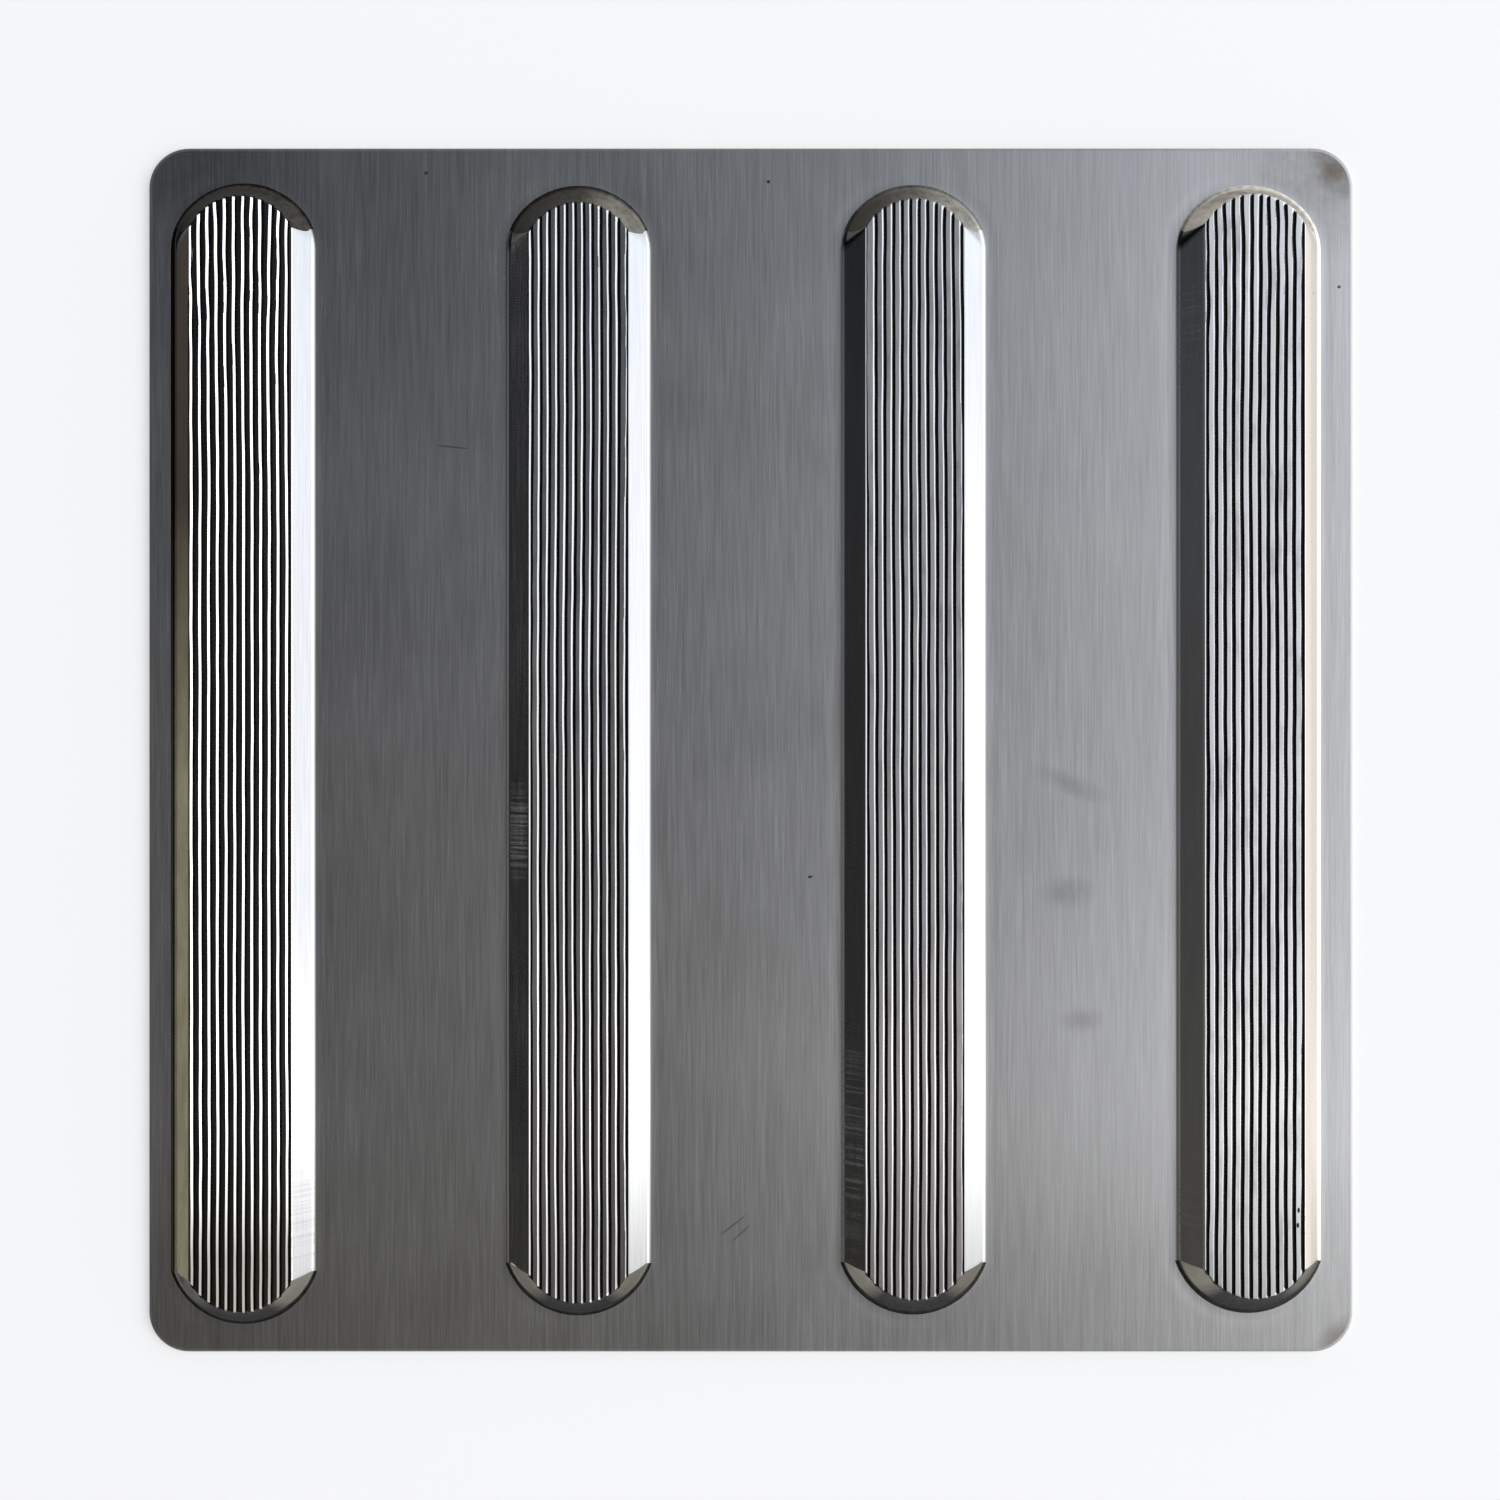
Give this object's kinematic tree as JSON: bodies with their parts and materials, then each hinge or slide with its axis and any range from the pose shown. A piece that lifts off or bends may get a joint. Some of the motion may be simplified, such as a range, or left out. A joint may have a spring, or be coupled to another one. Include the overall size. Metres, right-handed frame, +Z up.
{
  "type": "tactile paving plate",
  "caption": "Square stainless steel plate pressed with long parallel guidance bars, their flat tops grooved lengthwise and their ends rounded.",
  "frame": {"origin": "middle of the square sheet, on its underside, which lies on the ground", "axes": "+Z up through the sheet to the walking side, +Y along the bars, +X across them"},
  "size_m": [0.3, 0.3, 0.006],
  "materials": {
    "stainless_steel": "sheet hairline-brushed along the bars, bar sides and tops polished by the press"
  },
  "bodies": {
    "root": {"tactile_plate": "stainless_steel"}
  },
  "joints": []
}
